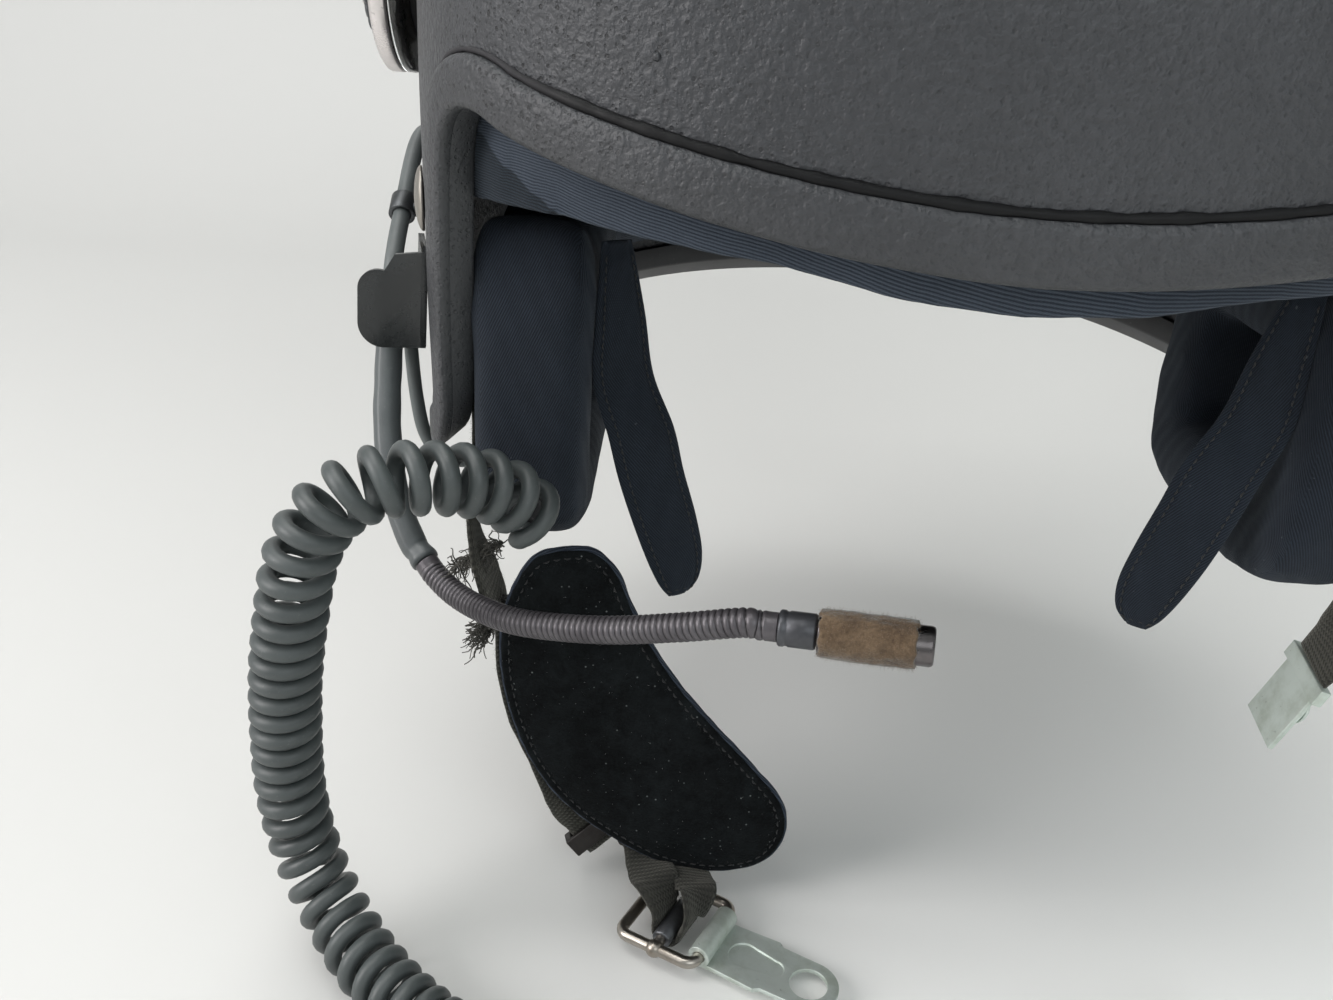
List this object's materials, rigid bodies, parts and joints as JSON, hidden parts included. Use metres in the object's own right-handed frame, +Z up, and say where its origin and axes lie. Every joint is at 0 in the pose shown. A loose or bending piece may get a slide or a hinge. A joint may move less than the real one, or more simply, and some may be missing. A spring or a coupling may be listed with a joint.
{
  "type": "ballistic helmet",
  "caption": "Ballistic helmet: face opening with raised rim, hinged clear visor, ear cushions, gooseneck boom microphone with curly lead, chin strap with kidney pad and hook buckle.",
  "frame": {"origin": "middle of the head at brow height, where the head holds the helmet", "axes": "+Z up, the face looks along -Y, the wearer's right is -X"},
  "size_m": [0.3181, 0.334, 0.3811],
  "materials": {
    "shell_paint": "laminate under fine orange-peel textured paint, satin",
    "band_paint": "laminate under textured paint, a little smoother",
    "sealant": "gloss bead",
    "trim_rubber": "satin extrusion",
    "foam": "closed-cell foam",
    "navy_cloth": "twill",
    "phone_plastic": "matt",
    "black_metal": "gloss, chipped at the edges",
    "screw_black": "satin",
    "pale_steel": "dull zinc plate",
    "pivot_rubber": "matt",
    "spacer_plastic": "matt",
    "bolt_steel": "turned",
    "visor_clear": "clear polycarbonate",
    "disc_aluminium": "turned, satin",
    "knob_plastic": "satin, knurled",
    "cap_steel": "turned",
    "grommet_rubber": "matt",
    "cable_jacket": "matt",
    "clip_metal": "stamped",
    "sleeve_rubber": "satin shrink sleeve",
    "gooseneck_steel": "wound, satin",
    "socket_metal": "satin",
    "felt": "felt",
    "capsule_metal": "satin",
    "lead_rubber": "matt",
    "plug_rubber": "matt",
    "plug_plastic": "moulded",
    "plug_brass": "polished",
    "strap_web": "woven webbing, fluffy",
    "suede": "suede with lint",
    "stud_metal": "oxidised",
    "slider_metal": "oxidised",
    "frame_nickel": "nickel plate, worn",
    "roller_steel": "dark steel",
    "plate_zinc": "zinc plate, yellowish at the edges"
  },
  "bodies": {
    "helmet": {"outer_shell": "shell_paint", "rim_band": "band_paint", "rim_sealant": "sealant", "edge_trim": "trim_rubber", "impact_foam": "foam", "crown_pad": "navy_cloth", "brow_pad": "navy_cloth", "nape_pad": "navy_cloth", "ear_cushion_R": "navy_cloth", "ear_cushion_L": "navy_cloth", "earphone_R": "phone_plastic", "earphone_L": "phone_plastic", "ear_flap_R": "navy_cloth", "ear_flap_L": "navy_cloth", "visor_stop_R": "black_metal", "visor_stop_L": "black_metal", "stop_screws": "screw_black", "strap_bolts": "pale_steel", "pivot_pads": "pivot_rubber", "pivot_spacers": "spacer_plastic", "pivot_bolts": "bolt_steel", "cable_grommet": "grommet_rubber", "boom_cable": "cable_jacket", "cable_clip": "clip_metal", "boom_sleeve": "sleeve_rubber", "earphone_cable": "cable_jacket", "gooseneck": "gooseneck_steel", "lead_gland": "grommet_rubber", "curly_lead": "lead_rubber", "lead_tail": "lead_rubber", "plug_boot": "plug_rubber", "plug_grip": "plug_plastic", "plug_pin": "plug_brass", "chin_strap_R": "strap_web", "chin_strap_L": "strap_web", "chin_pad": "navy_cloth", "chin_suede": "suede", "pad_stud": "stud_metal", "strap_slider": "slider_metal", "strap_loop": "strap_web", "stud_plate": "plate_zinc"},
    "visor": {"visor_shield": "visor_clear", "clamp_discs": "disc_aluminium"},
    "knob_R": {"clamp_knob_R": "knob_plastic", "knob_cap_R": "cap_steel"},
    "knob_L": {"clamp_knob_L": "knob_plastic", "knob_cap_L": "cap_steel"},
    "microphone": {"mic_socket": "socket_metal", "mic_felt": "felt", "mic_capsule": "capsule_metal"},
    "buckle": {"buckle_frame": "frame_nickel"},
    "roller": {"buckle_roller": "roller_steel"},
    "hook": {"hook_plate": "plate_zinc"}
  },
  "joints": [
    {"name": "visor_tilt", "type": "hinge", "parent": "helmet", "child": "visor", "pos_m": [0, 0.014, 0.048], "axis": [1, 0, 0], "range_deg": [0, 70]},
    {"name": "knob_turn_R", "type": "hinge", "parent": "helmet", "child": "knob_R", "pos_m": [-0.14855, 0.014, 0.048], "axis": [-1, 0, 0], "range_deg": [-90, 90]},
    {"name": "knob_turn_L", "type": "hinge", "parent": "helmet", "child": "knob_L", "pos_m": [0.14855, 0.014, 0.048], "axis": [1, 0, 0], "range_deg": [-90, 90]},
    {"name": "mic_twist", "type": "hinge", "parent": "helmet", "child": "microphone", "pos_m": [-0.0403, -0.10804, -0.07149], "axis": [0.9792, -0.1958, 0.0522], "range_deg": [-90, 90]},
    {"name": "buckle_swing", "type": "hinge", "parent": "helmet", "child": "buckle", "pos_m": [-0.0554, -0.0786, -0.1834], "axis": [0.4512, 0.8924, 0], "range_deg": [-15, 10]},
    {"name": "roller_spin", "type": "hinge", "parent": "buckle", "child": "roller", "pos_m": [-0.0554, -0.0786, -0.1834], "axis": [0.4512, 0.8924, 0], "continuous": true},
    {"name": "hook_swing", "type": "hinge", "parent": "buckle", "child": "hook", "pos_m": [-0.04523, -0.08374, -0.1834], "axis": [0.4512, 0.8924, 0], "range_deg": [-60, 20]}
  ]
}
